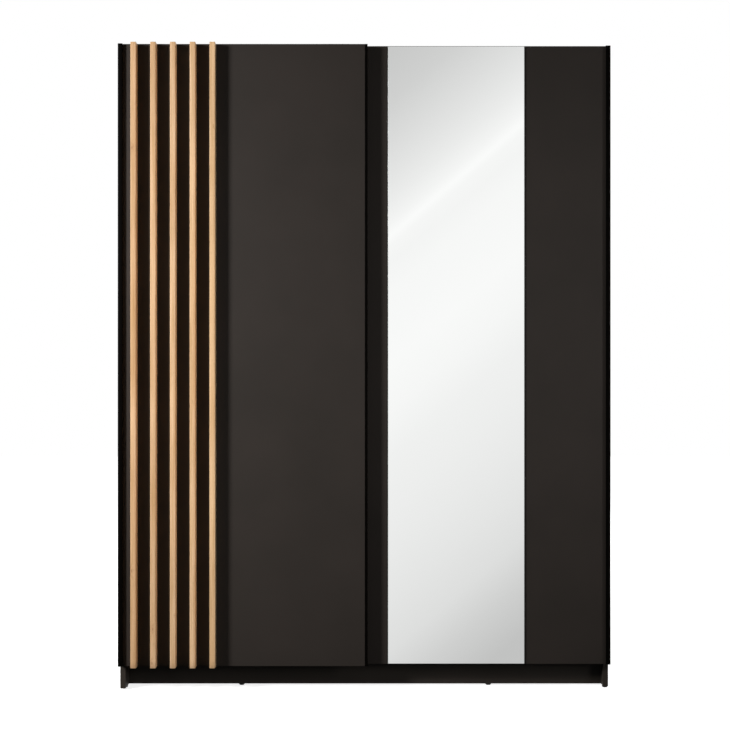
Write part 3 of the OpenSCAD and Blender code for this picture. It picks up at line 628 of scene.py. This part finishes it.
ALONG_X, ALONG_Z, NO_WAY = (0.02, 1.0, 1.0), (1.0, 1.0, 0.02), (1.0, 1.0, 1.0)

# The black dye leaves next to no metal to see, so it is treated as a dark oxide
black_anodised_upright = metal(
    "black_anodised_aluminium_upright", "#040302", "#060403", (0.4, 0.52), ALONG_Z, 0.35,
    metallic=0.0, specular=0.04)
black_anodised_level = metal(
    "black_anodised_aluminium_level", "#0C0B0A", "#121110", (0.4, 0.52), ALONG_X, 0.35,
    metallic=0.0, specular=0.25)
silver_anodised = metal(
    "silver_anodised_aluminium", "#A9ABAD", "#B9BBBD", (0.3, 0.42), ALONG_X, 0.35)
zinc_plated = metal("zinc_plated_steel", "#9A9EA4", "#B3B8BC", (0.28, 0.44), NO_WAY, 1.6)
chrome = metal("polished_chrome", "#C9CCCE", "#D4D7D9", (0.05, 0.09), ALONG_X, 0.5)
METALS = (black_anodised_upright, black_anodised_level, silver_anodised, zinc_plated, chrome)
print("metals:", [material.name for material in METALS])

# %% [markdown]
# ## Plastics, rubber, beech and foam
#
# Injection-moulded parts have an even colour with a fine spark-eroded grain. They differ
# in tint, gloss and how deep the grain is. Beech dowels have small dark flecks along the
# dowel, and the mounting tape is a foam full of small cells. All of them could be plain
# colours at this size, but close up they would look like one material. So one function
# gives each its own grain, with its real size and depth.

# %% Moulded and fibrous finishes
def grained(name, low, high, rough, grain_mm, depth_mm, stretch=NO_WAY, specular=0.5,
            crumbly=0.55):
    """An even colour with a grain: noise from `low` to `high`, also used as the bump.
    `crumbly` is how much of the noise is finer than the grain."""
    material = bpy.data.materials.new(name)
    material.use_nodes = True
    tree = material.node_tree
    shader = tree.nodes["Principled BSDF"]
    place = add(tree, "ShaderNodeTexCoord").outputs["Object"]
    way = add(tree, "ShaderNodeMapping", {"Vector": place, "Scale": stretch})
    grain = add(tree, "ShaderNodeTexNoise", {
        "Vector": way.outputs[0], "Scale": 1 / (grain_mm * MM), "Detail": 3.0,
        "Roughness": crumbly})
    tone = add(tree, "ShaderNodeValToRGB", {"Fac": grain.outputs["Fac"]},
               stops=[(0.36, low), (0.64, high)])
    tree.links.new(tone.outputs["Color"], shader.inputs["Base Color"])
    level = add(tree, "ShaderNodeMapRange", {
        "Value": grain.outputs["Fac"], "From Min": 0.3, "From Max": 0.7,
        "To Min": rough[0], "To Max": rough[1]})
    tree.links.new(level.outputs[0], shader.inputs["Roughness"])
    bump = add(tree, "ShaderNodeBump", {
        "Strength": 0.6, "Distance": depth_mm * MM, "Height": grain.outputs["Fac"]})
    tree.links.new(bump.outputs[0], shader.inputs["Normal"])
    shader.inputs["Specular IOR Level"].default_value = specular
    return material


nylon = grained("moulded_nylon", "#DAD6CA", "#E6E2D7", (0.36, 0.46), 0.8, 0.02)
acetal = grained("moulded_acetal", "#232323", "#2B2B2B", (0.34, 0.46), 0.7, 0.03)
black_abs = grained("moulded_black_abs", "#0F0F0F", "#171717", (0.45, 0.6), 0.7, 0.04)
rubber = grained("moulded_rubber", "#141414", "#1C1B1A", (0.75, 0.9), 0.6, 0.05, specular=0.3)
beech = grained("turned_beech", "#B98F62", "#D4AC80", (0.5, 0.62), 1.1, 0.04,
                (0.12, 1.0, 1.0))
foam = grained("acrylic_foam_tape", "#8F9192", "#B4B6B6", (0.8, 0.95), 0.5, 0.15)
GRAINED = (nylon, acetal, black_abs, rubber, beech, foam)
print("grained:", [material.name for material in GRAINED])

# %% [markdown]
# ## Hardboard
#
# The two backs are hardboard: bare brown fibres behind, and a graphite print on the face
# towards the inside. A second material on the inner faces would do it, but their meshes
# stay as the CAD model made them. So one material picks its colour by the way a face
# points.

# %% Hardboard, printed on the inside
hardboard = grained("printed_hardboard", "#5E452E", "#7E6043", (0.6, 0.78), 1.4, 0.12,
                    (1.0, 1.0, 0.5), crumbly=0.70)
PRINT_TONE = "#46403B"
tree = hardboard.node_tree
shader = tree.nodes["Principled BSDF"]
raw = shader.inputs["Base Color"].links[0].from_socket
facing = add(tree, "ShaderNodeSeparateXYZ",
             {0: add(tree, "ShaderNodeNewGeometry").outputs["Normal"]})
inside = add(tree, "ShaderNodeMath", {0: facing.outputs["Y"], 1: -0.5}, operation="LESS_THAN")
print_coat = add(tree, "ShaderNodeMix", {0: inside.outputs[0], 6: raw, 7: linear(PRINT_TONE)},
                 data_type="RGBA")
tree.links.new(print_coat.outputs[2], shader.inputs["Base Color"])
print("hardboard:", PRINT_TONE, "on faces towards -Y, bare elsewhere")

# %% [markdown]
# ## Mirror glass
#
# The mirror is 3 mm float glass, silvered at the back. It could be built as clear glass over
# a silver layer, but from the front the two look like one. So the face is a perfect mirror
# with the faintest waviness and no roughness at all. The edge is ground to a narrow satin
# bevel, with the dark green of glass seen edge on, and the back has a grey lacquer.

# %% Mirror finishes
silvered = bpy.data.materials.new("silvered_float_glass")
silvered.use_nodes = True
tree = silvered.node_tree
shader = tree.nodes["Principled BSDF"]
place = add(tree, "ShaderNodeTexCoord").outputs["Object"]
shader.inputs["Base Color"].default_value = linear("#F4F5F4")
shader.inputs["Metallic"].default_value = 1.0
shader.inputs["Roughness"].default_value = 0.0
# The waves of float glass are about 250 mm long and far less than 0.02 mm high
WAVES, WAVE_HEIGHT = 4.0, 0.02 * MM
sway = add(tree, "ShaderNodeTexNoise", {"Vector": place, "Scale": WAVES, "Detail": 1.0})
bump = add(tree, "ShaderNodeBump", {
    "Strength": 0.25, "Distance": WAVE_HEIGHT, "Height": sway.outputs["Fac"]})
tree.links.new(bump.outputs[0], shader.inputs["Normal"])

ground_edge = grained("ground_glass_edge", "#5F6B66", "#77837D", (0.25, 0.4), 0.6, 0.02)
lacquer = grained("mirror_back_lacquer", "#5C6062", "#686C6E", (0.45, 0.6), 0.9, 0.03)
print("mirror finishes:", silvered.name, ground_edge.name, lacquer.name)

# %% [markdown]
# ## Boards that keep their CAD shape
#
# Boards with all their drilling already have the right shape, and drawing them again would
# only lose holes. So they keep it and get a finish. Real boards have no knife-sharp edges,
# so their meshes are welded and given a small rounded edge by modifiers.

# %% Board finishes
BOARDS = {
    # node: the axis along which its banded edges lie
    "left_side_panel": "Y", "right_side_panel": "Y", "top_panel": "Y", "bottom_panel": "Y",
    "centre_partition": "Y", "front_plinth": "Z", "rear_plinth": "Z",
    "hat_shelf_left": "Y", "hat_shelf_right": "Y",
    "front_door_panel": "Z", "rear_door_panel": "Z",
}
NUMBER_OF = {"X": 0, "Y": 1, "Z": 2}
WELD_WITHIN = 0.005 * MM
EDGE_ANGLE = math.radians(50)
BOARD_EDGE, FITTING_EDGE = 0.5 * MM, 0.25 * MM


def board_finish(node, axis):
    """The graphite board finish with its bands where that node's edges are."""
    low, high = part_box(node)
    i = NUMBER_OF[axis]
    tones = DOOR_GRAPHITE if "door" in node else CARCASS_GRAPHITE
    return graphite_board(node, axis, low[i], high[i], tones)


def dress(node, material):
    """Gives a CAD node that material."""
    for slot in nodes[node].material_slots:
        slot.material = material


def soften(node, width):
    """Welds a CAD node's loose triangles and rounds its edges by that width."""
    weld = nodes[node].modifiers.new("weld", "WELD")
    weld.merge_threshold = WELD_WITHIN
    round_edges = nodes[node].modifiers.new("round_edges", "BEVEL")
    round_edges.width = width
    round_edges.segments = 2
    round_edges.limit_method = "ANGLE"
    round_edges.angle_limit = EDGE_ANGLE
    round_edges.harden_normals = False


for node, axis in BOARDS.items():
    dress(node, board_finish(node, axis))
    soften(node, BOARD_EDGE)
print("boards with bands:", len(BOARDS))

# %% [markdown]
# ## Fittings that keep their CAD shape
#
# Tracks, hangers, locks and screws have every step and slot in the CAD model. Making them
# again would show no more, so they only get the finish of what they are pressed, drawn or
# moulded from. The larger ones get a rounded edge too. On screws and locks it would be too
# small to see.

# %% Other finishes
FINISHES = {
    "back_panel_left": hardboard, "back_panel_right": hardboard, "back_joiner": black_abs,
    "rail_brackets": zinc_plated, "shelf_pins": zinc_plated, "cam_locks": zinc_plated,
    "cam_bolts": zinc_plated, "wood_dowels": beech, "confirmat_screws": zinc_plated,
    "small_screws": zinc_plated, "running_track": silver_anodised,
    "guide_track": black_anodised_level, "track_end_stops": rubber,
    "slat_screws": zinc_plated, "front_hanger_left": zinc_plated,
    "front_hanger_right": zinc_plated, "front_axles": zinc_plated, "front_guides": acetal,
    "front_door_screws": zinc_plated, "mirror_tape": foam, "rear_hanger_left": zinc_plated,
    "rear_hanger_right": zinc_plated, "rear_axles": zinc_plated, "rear_guides": acetal,
    "rear_door_screws": zinc_plated,
}
for node, material in FINISHES.items():
    dress(node, material)
for node in ("back_joiner", "running_track", "guide_track", "track_end_stops",
             "front_hanger_left", "front_hanger_right", "rear_hanger_left",
             "rear_hanger_right", "front_guides", "rear_guides"):
    soften(node, FITTING_EDGE)
print("parts with their own finish:", len(FINISHES))

# %% [markdown]
# ## Slats
#
# Each slat is a planed oak bar, 17 mm wide and 30 mm deep, as tall as the door. A hand plane
# breaks its long edges to a radius of about 1 mm, and the ends are lightly chamfered. A
# box with a Bevel modifier would be dead flat, which a planed bar never is. So its outline
# is carried upwards in many rows, and the inset at each point is a sum of three slow sine
# waves along the bar, which lets its faces breathe by a tenth of a millimetre.

# %% Slats
SLAT_RADIUS = 1.1 * MM
SLAT_CHAMFER = 0.7 * MM
# How much the ends are drawn in for each millimetre of the chamfer's height
CHAMFER_SLOPE = 0.7
SLAT_ROWS = 90
# Half the height of each of the three waves
BREATH = 0.035 * MM
OAK = [
    # light tone, dark tone, part of the tree, knots as x, z, half width and half length
    ("#DAB188", "#BA8F60", 0.0, [(-0.7125, 1.672, 0.0040, 0.0105),
                                (-0.7135, 0.378, 0.0034, 0.012)]),
    ("#DFB890", "#C19769", 1.3, [(-0.6595, 1.717, 0.0015, 0.0032),
                                (-0.6490, 0.200, 0.0030, 0.009),
                                (-0.6515, 0.096, 0.0036, 0.010)]),
    ("#E4BF98", "#C4996B", 2.9, [(-0.5830, 0.242, 0.0014, 0.004)]),
    ("#E9C39A", "#C89E6F", 4.6, []),
    ("#E4BF93", "#C49A6A", 6.1, [(-0.4640, 1.737, 0.0014, 0.005)]),
]


def slat(number):
    """One oak slat: a rounded rectangle carried upwards, with chamfered ends. The inset at
    height z and turn s round the outline is b(3 + sin(7.1z + n + s) + sin(17.3z - 2s)
    + sin(3.9z + 3n + 3s)), with b for BREATH and n for the slat's number."""
    light, dark, turn, knots = OAK[number - 1]
    low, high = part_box(f"slat_{number}")
    outline = rounded(rectangle(low[:2], high[:2]), SLAT_RADIUS)
    inner = np.linspace(low[2] + SLAT_CHAMFER, high[2] - SLAT_CHAMFER, SLAT_ROWS)
    z = np.concatenate([[low[2]], inner, [high[2]]])
    side = np.linspace(0, 2 * math.pi, len(outline), endpoint=False)[None]
    wave = (np.sin(7.1 * z[:, None] + number + side) + np.sin(17.3 * z[:, None] - 2 * side)
            + np.sin(3.9 * z[:, None] + 3 * number + 3 * side))
    inset = BREATH * (wave + 3)
    inset[[0, -1]] += SLAT_CHAMFER * CHAMFER_SLOPE
    piece = skin(f"oak_slat_{number}", carried(outline, z, inset),
                 [oak(f"slat_{number}", light, dark, turn, knots)])
    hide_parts(f"slat_{number}")
    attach(piece, "front_door")


for number in range(1, len(OAK) + 1):
    slat(number)

# %% [markdown]
# ## Handles and edge profiles
#
# The handle is an extrusion that grips the board's outer edge and reaches 9 mm forward,
# where it turns back in a short lip for the fingertips. The inner edge of each door is
# covered by a plain U profile. Thin boxes could be joined to the same shape, but a die
# gives one section with small round corners everywhere. So both are drawn as
# cross-sections, with the distance from the door's outer edge first and the distance
# behind the door's face second. The right door's profiles are the left one's mirror image.

# %% Handle and edge profiles
DOOR_W = 768 * MM
BOARD = 16 * MM
REACH, WALL, LIP, FLANGE, THIN = 9 * MM, 1.5 * MM, 2 * MM, 10 * MM, 1.2 * MM
HANDLE_W, EDGE_W = 14.5 * MM, 8.4 * MM
END_CHAMFER = 0.25 * MM
HANDLE_RADII = np.array([1.0, 1.0, 0.5, 0.5, 0.4, 0.4, 0.3, 0.45, 0.1, 0.1, 0.1, 0.1,
                         0.45, 0.8]) * MM
EDGE_RADII = np.array([0.6, 0.6, 0.45, 0.1, 0.1, 0.1, 0.1, 0.45]) * MM

handle_section = rounded(
    [(0, -REACH), (HANDLE_W, -REACH), (HANDLE_W, -REACH + WALL + LIP),
     (HANDLE_W - WALL, -REACH + WALL + LIP), (HANDLE_W - WALL, -REACH + WALL),
     (WALL, -REACH + WALL), (WALL, -THIN), (FLANGE, -THIN), (FLANGE, 0), (WALL, 0),
     (WALL, BOARD), (FLANGE, BOARD), (FLANGE, BOARD + THIN), (0, BOARD + THIN)],
    HANDLE_RADII)
edge_section = rounded(
    [(DOOR_W, -THIN), (DOOR_W, BOARD + THIN), (DOOR_W - EDGE_W, BOARD + THIN),
     (DOOR_W - EDGE_W, BOARD), (DOOR_W - THIN, BOARD), (DOOR_W - THIN, 0),
     (DOOR_W - EDGE_W, 0), (DOOR_W - EDGE_W, -THIN)],
    EDGE_RADII)

SIDES = {
    # door: its outer edge, the way inwards from there, and its board's face
    "front_door": (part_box("front_door_handle")[0][0], 1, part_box("front_door_panel")[0][1]),
    "rear_door": (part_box("rear_door_handle")[1][0], -1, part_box("rear_door_panel")[0][1]),
}
for door, (outer_x, inwards_x, face_y) in SIDES.items():
    for part, section in (("handle", handle_section), ("edge_profile", edge_section)):
        node = f"{door}_{part}"
        low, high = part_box(node)
        outline = section * (inwards_x, 1) + (outer_x, face_y)
        z = [low[2], low[2] + END_CHAMFER, high[2] - END_CHAMFER, high[2]]
        rows = carried(outline, z, [END_CHAMFER, 0, 0, END_CHAMFER])
        piece = skin(f"{node}_extrusion", rows, [black_anodised_upright])
        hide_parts(node)
        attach(piece, door)

# %% [markdown]
# ## Mirror
#
# The pane is a flat slab whose front edge is ground to a bevel 0.8 mm wide and 0.5 mm deep.
# A Bevel modifier would bevel the back edge too. So the pane is made of rows from back to
# front: the lacquered back, the satin edge, the bevel, and the silvered face as the lid.

# %% Mirror pane
BEVEL_W, BEVEL_D = 0.8 * MM, 0.5 * MM

low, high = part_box("mirror")
pane_outline = np.array(rectangle((low[0], low[2]), (high[0], high[2])))
pane_y = np.array([high[1], low[1] + BEVEL_D, low[1]])
pane_inset = np.array([0, 0, BEVEL_W])
pane = skin("mirror_pane", carried(pane_outline, pane_y, pane_inset, (0, 2, 1)),
            [silvered, ground_edge, lacquer], finish_of_row=[1, 1], smooth=False)
for lid, finish in zip(list(pane.data.polygons)[-2:], (2, 0)):
    lid.material_index = finish
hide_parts("mirror")
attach(pane, "rear_door")

# %% [markdown]
# ## Hanging rail
#
# The rail is a flat oval steel tube. Its section is two half circles joined by straight
# sides. Solidify could give a plain oval its wall, but would leave the rims sharp. So the
# tube is one skin that runs along the outside, round the rim, and back along the inside,
# and it is closed without lids.

# %% Hanging rail
def oval(height, width, steps=14):
    """Points of an upright flat oval: (w/2 cos t, w/2 sin t), with the upper half moved up
    and the lower half moved down by (h - w)/2."""
    t = np.linspace(0, math.pi, steps + 1)
    cap = np.stack([np.cos(t), np.sin(t)], axis=1) * width / 2
    shift = np.array([0, (height - width) / 2])
    return np.concatenate([cap + shift, -cap - shift])


RAIL_WALL = 1.0 * MM
RIM = 0.3 * MM
low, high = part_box("hanging_rail")
rail_centre = np.array([(low[1] + high[1]) / 2, (low[2] + high[2]) / 2])
outer = oval(high[2] - low[2], high[1] - low[1])
inner = oval(high[2] - low[2] - 2 * RAIL_WALL, high[1] - low[1] - 2 * RAIL_WALL)
ends = (low[0], high[0])
rail_rows = np.concatenate([
    carried(outer + rail_centre, [ends[0], ends[0] + RIM, ends[1] - RIM, ends[1]],
            [RIM, 0, 0, RIM], (2, 0, 1)),
    carried(inner + rail_centre, [ends[1], ends[0]], [0, 0], (2, 0, 1))])
rail = skin("oval_rail_tube", rail_rows, [chrome], ring=True)
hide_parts("hanging_rail")
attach(rail, "carcass")

# %% [markdown]
# ## Shelves
#
# The four loose shelves have a 1 mm band on their front edge. They are plain slabs without
# a hole, so nothing is lost when they are drawn afresh, with cleaner edges than a weld and
# a bevel give. Each is a rounded rectangle carried upwards, with its faces' edges eased by
# half a millimetre.

# %% Loose shelves
EASE = 0.5 * MM
SHELF_CORNER = 0.8 * MM
low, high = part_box("shelf_1")
shelf_finish = graphite_board("loose_shelves", "Y", low[1], high[1])
# An eased edge is a quarter circle: at a rise of e(1 - cos t), the inset is e(1 - sin t)
quarter = np.linspace(0, math.pi / 2, 4)
shelf_inset = EASE * np.concatenate([1 - np.sin(quarter), 1 - np.sin(quarter[::-1])])
for number in range(1, 5):
    low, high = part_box(f"shelf_{number}")
    rise = EASE * (1 - np.cos(quarter))
    z = np.concatenate([low[2] + rise, high[2] - rise[::-1]])
    outline = rounded(rectangle(low[:2], high[:2]), SHELF_CORNER)
    shelf = skin(f"loose_shelf_{number}", carried(outline, z, shelf_inset), [shelf_finish])
    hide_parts(f"shelf_{number}")
    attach(shelf, "carcass")

# %% [markdown]
# ## Floor glides
#
# The glides are small black discs with a rounded foot, nailed under the boards. Eight
# cylinders would do from afar, but the foot's rounding catches the light. So one
# half-outline, nail and all, is turned about its axis and set down at all eight places.

# %% Floor glides
GLIDE_H, GLIDE_R, NAIL_R, SEGMENTS = 5 * MM, 8.5 * MM, 1 * MM, 40
# The glides' distance from the wardrobe's middle, as in the CAD model
SIDE_X, PLINTH_X = 0.75, 0.388

low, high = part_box("floor_glides")
front_y, rear_y = low[1] + GLIDE_R, high[1] - GLIDE_R
plinth_y = [(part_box(f"{end}_plinth")[0][1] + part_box(f"{end}_plinth")[1][1]) / 2
            for end in ("front", "rear")]
glide_places = np.array(
    [(s * SIDE_X, y, 0) for s in (-1, 1) for y in (front_y, rear_y)]
    + [(s * PLINTH_X, y, 0) for s in (-1, 1) for y in plinth_y])
glide_profile = [
    (5.5 * MM, 0), (7.2 * MM, 0.15 * MM), (8.1 * MM, 0.7 * MM), (GLIDE_R, 1.6 * MM),
    (GLIDE_R, 4.2 * MM), (8.1 * MM, GLIDE_H), (NAIL_R, GLIDE_H), (NAIL_R, high[2] - 1.5 * MM),
    (0.2 * MM, high[2])]
glide_rows = turned(glide_profile, SEGMENTS)[None] + glide_places[:, None, None]
glides = skin("nail_in_glides", glide_rows, [black_abs])
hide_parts("floor_glides")
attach(glides, "carcass")

# %% [markdown]
# ## Wheels
#
# The wheels are turned nylon with a groove that rides on the track's rib, and a dished web
# between hub and rim. Cutting both out of a cylinder leaves untidy faces. So the whole
# half-outline is drawn once, from the bore out over the tread and back, and turned.

# %% Wheels
BORE, WEB_R, HUB_R, DISH = 2.75 * MM, 8.6 * MM, 5.4 * MM, 1.1 * MM
RUN_R, RIB_HALF, ROUND = 10 * MM, 1.5 * MM, 0.5 * MM


def wheel_profile(radius, half):
    """Half-outline of a wheel from its bore out over the tread and back, closed on itself:
    the web is dished between hub and rim on both sides."""
    side = [(BORE, half - 0.3 * MM), (BORE + 0.3 * MM, half), (HUB_R, half),
            (HUB_R + 0.5 * MM, half - DISH), (WEB_R, half - DISH), (WEB_R + 0.5 * MM, half),
            (radius - ROUND, half), (radius - 0.15 * MM, half - 0.15 * MM),
            (radius, half - ROUND), (radius, RIB_HALF + 2 * ROUND), (RUN_R, RIB_HALF + ROUND)]
    other = [(r, -h) for r, h in side[::-1]]
    return side + other


for door in ("front", "rear"):
    for number in range(1, 5):
        node = f"{door}_wheel_{number}"
        low, high = np.array(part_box(node)[0]), np.array(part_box(node)[1])
        rows = turned(wheel_profile((high[0] - low[0]) / 2, (high[1] - low[1]) / 2), 64)
        rows = rows[..., [0, 2, 1]] + (low + high) / 2
        wheel = skin(f"{door}_nylon_wheel_{number}", rows, [nylon], ring=True)
        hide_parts(node)
        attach(wheel, node)
